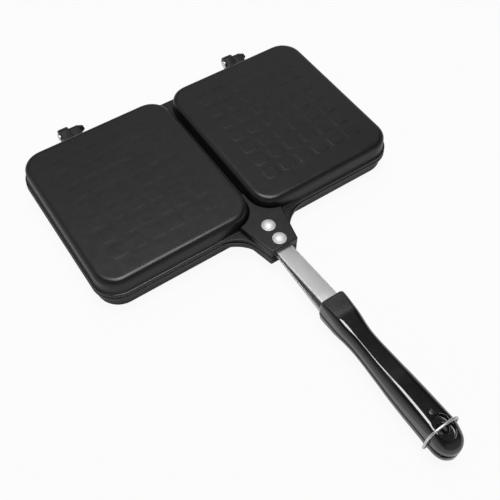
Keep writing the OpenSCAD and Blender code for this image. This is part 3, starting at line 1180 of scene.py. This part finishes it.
def tang_steel():
    """Satin steel; the bar's long rounded edges are painted lighter, a painted highlight."""
    m = Nodes("tang_steel")
    lines = m.noise(900, 3.0, 0.6, (1.0, 0.02, 1.0))
    across = calculate(m.tree, "ABSOLUTE", m.split_place()["X"])
    half = TANG_W / 2 * MM
    # painted highlight: a light band painted along the bar's long rounded edges, mixed into the random tone
    # below
    edge = map_range(m.tree, across, half - 0.75 * MM, half - 0.55 * MM, 0.0, 1.0)
    tone_and_painted_edge_highlight = highest(m.tree, m.noise(60, 5.0), edge)
    ramp = m.grey(tone_and_painted_edge_highlight, (0.47, 0.47, 0.475), (0.53, 0.53, 0.535))
    ramp.color_ramp.elements.new(0.95).color = (0.86, 0.86, 0.86, 1)
    m.set(Metallic=1.0)
    m.link(m.spread(lines, 0.52, 0.64), m.shader.inputs["Roughness"])
    m.bump([(lines, 0.1, 0.0001), (m.noise(150, 2.0), 0.05, 0.0003)])
    return m.material


def rivet_metal():
    """Bright aluminium with small dents."""
    m = Nodes("rivet_metal")
    m.grey(m.noise(420, 4.0), (0.72, 0.72, 0.725), (0.9, 0.9, 0.905))
    m.set(Metallic=0.6)
    m.link(m.spread(m.noise(500, 3.0), 0.52, 0.68), m.shader.inputs["Roughness"])
    m.bump([(m.noise(330, 2.0), 0.3, 0.0004), (m.noise(2400, 2.0), 0.08, 0.0001)])
    return m.material


def bright_steel():
    """Drawn wire and turned pins."""
    m = Nodes("bright_steel")
    m.grey(m.noise(300, 4.0), (0.76, 0.76, 0.76), (0.9, 0.9, 0.9))
    m.set(Metallic=1.0)
    m.link(m.spread(m.noise(700, 3.0), 0.3, 0.42), m.shader.inputs["Roughness"])
    m.bump([(m.noise(1400, 2.0), 0.06, 0.0001)])
    return m.material


def dark_steel():
    """Blackened screws."""
    m = Nodes("dark_steel")
    m.grey(m.noise(900, 3.0), (0.05, 0.05, 0.052), (0.11, 0.11, 0.112))
    m.set(Metallic=0.8)
    m.link(m.spread(m.noise(1200, 3.0), 0.3, 0.45), m.shader.inputs["Roughness"])
    m.bump([(m.noise(2500, 2.0), 0.1, 0.0001)])
    return m.material


def grip_plastic():
    """Hard black moulding, glossy but for the satin pad at its front."""
    m = Nodes("grip_plastic")
    m.grey(m.noise(55, 4.0), (0.0045, 0.0045, 0.0047), (0.0075, 0.0075, 0.0078))
    m.set(IOR=1.5, Specular_IOR_Level=0.7, Coat_Weight=0.9)
    pad_end = row(0, -GRIP_START - PAD_L, 0).y
    gloss, satin = 0.13, 0.215
    pad = map_range(m.tree, m.split_place()["Y"], pad_end - 0.002, pad_end + 0.003, gloss, satin, smooth=True)
    mottled = calculate(m.tree, "ADD", pad, m.spread(m.noise(140, 4.0), -0.015, 0.015))
    m.link(mottled, m.shader.inputs["Roughness"])
    m.link(mottled, m.shader.inputs["Coat Roughness"])
    m.bump([(m.noise(45, 2.0), 0.015, 0.0006), (m.noise(1800, 2.0), 0.012, 0.0001)])
    return m.material


MATERIALS = {
    maker.__name__: maker()
    for maker in (pan_coating, tang_steel, rivet_metal, bright_steel, dark_steel, grip_plastic)
}


# ---- the whole iron ----

pan("upper", "upper_half", False, UPPER_KNUCKLE, 0)
pan("lower", "lower_half", True, LOWER_KNUCKLE, UPPER_KNUCKLE[0] + SIDE_PLAY)
for side, word in SIDES:
    hinge_pin(side, word)
for prefix, body, lower in (("upper", "upper_half", False), ("lower", "lower_half", True)):
    tang(prefix, body, lower)
    rivets(prefix, body, lower)
    grip(prefix, body, lower)
    grip_screw(prefix, body, lower)
lock_ring()


# ---- floor, light and camera ----

DARK = 0.03


def studio():
    """A dark room with a white horizon, a pale panel over the hinges and dim ones left and near.

    The camera itself sees plain white behind the floor.
    """
    world = bpy.data.worlds.new("studio")
    bpy.context.scene.world = world
    world.use_nodes = True
    tree = world.node_tree
    background = tree.nodes["Background"]
    background.inputs["Color"].default_value = (1, 1, 1, 1)
    split = tree.nodes.new("ShaderNodeSeparateXYZ")
    tree.links.new(tree.nodes.new("ShaderNodeTexCoord").outputs["Generated"], split.inputs["Vector"])

    def ramp(axis, start, end, low, high):
        """Strength from low to high between two heights along an axis of the sky's directions."""
        return map_range(tree, split.outputs[axis], start, end, low, high, smooth=True)

    horizon = ramp("Z", 0.0, 0.14, 1.0, DARK)
    rise = ramp("Y", 0.28, 0.54, 0.0, 0.46)
    fall = ramp("Y", 0.66, 0.86, 0.0, 0.4)
    left = ramp("X", -0.92, -0.6, 0.4, 0.0)
    near = ramp("Y", -0.85, -0.4, 0.25, 0.0)
    panel = calculate(tree, "SUBTRACT", rise, fall)
    seen = tree.nodes.new("ShaderNodeLightPath").outputs["Is Camera Ray"]
    tree.links.new(highest(tree, horizon, panel, left, near, seen), background.inputs["Strength"])


def floor():
    """A pale matte floor that keeps the shadow and glows only for camera, glossy and transmission rays."""
    mesh = bpy.data.meshes.new("floor")
    size = 3.0
    corners = [(-size, -size, 0), (size, -size, 0), (size, size, 0), (-size, size, 0)]
    mesh.from_pydata(corners, [], [(0, 1, 2, 3)])
    obj = bpy.data.objects.new("floor", mesh)
    bpy.context.collection.objects.link(obj)
    material = bpy.data.materials.new("floor_white")
    material.use_nodes = True
    tree = material.node_tree
    tree.nodes.remove(tree.nodes["Principled BSDF"])
    output = tree.nodes["Material Output"]
    matte = tree.nodes.new("ShaderNodeBsdfDiffuse")
    matte.inputs["Color"].default_value = (0.64, 0.64, 0.64, 1)
    glow = tree.nodes.new("ShaderNodeEmission")
    glow.inputs["Strength"].default_value = 1.0
    path = tree.nodes.new("ShaderNodeLightPath")
    glowing = (("Is Camera Ray", 0.93), ("Is Glossy Ray", 0.1), ("Is Transmission Ray", 0.93))
    shares = [calculate(tree, "MULTIPLY", path.outputs[ray], share) for ray, share in glowing]
    mix = tree.nodes.new("ShaderNodeMixShader")
    tree.links.new(highest(tree, *shares), mix.inputs["Fac"])
    tree.links.new(matte.outputs["BSDF"], mix.inputs[1])
    tree.links.new(glow.outputs["Emission"], mix.inputs[2])
    tree.links.new(mix.outputs["Shader"], output.inputs["Surface"])
    mesh.materials.append(material)


def softbox(name, place, aim, size, watts):
    """A rectangular lamp that faces the point aim."""
    light = bpy.data.lights.new(name, "AREA")
    light.shape = "RECTANGLE"
    light.size, light.size_y = size
    light.energy = watts
    obj = bpy.data.objects.new(name, light)
    bpy.context.collection.objects.link(obj)
    obj.location = place
    obj.rotation_euler = (Vector(aim) - Vector(place)).to_track_quat("-Z", "Y").to_euler()


def camera():
    """Stands where the photograph was taken; direction, roll, place and lens were solved from it."""
    place = row(-203.9, -277.4, 462.9)
    azimuth, elevation, roll = math.radians(35.14), math.radians(55.65), math.radians(-1.2)
    level = math.cos(elevation)
    ahead = Vector((math.sin(azimuth) * level, math.cos(azimuth) * level, -math.sin(elevation)))
    right = Vector((math.cos(azimuth), -math.sin(azimuth), 0))
    down = ahead.cross(right)
    turned_right = right * math.cos(roll) + down * math.sin(roll)
    turned_down = down * math.cos(roll) - right * math.sin(roll)
    data = bpy.data.cameras.new("photo_camera")
    data.sensor_width = 36.0
    data.lens = 51.76
    obj = bpy.data.objects.new("photo_camera", data)
    bpy.context.collection.objects.link(obj)
    turn = Matrix((turned_right, -turned_down, -ahead)).transposed()
    obj.matrix_world = Matrix.Translation(place) @ turn.to_4x4()
    bpy.context.scene.camera = obj


floor()
studio()
softbox("overhead_softbox", place=(0.04, 0.12, 2.0), aim=(0.04, 0.12, 0), size=(1.0, 1.2), watts=33)
camera()
bpy.context.scene.view_settings.view_transform = "Standard"
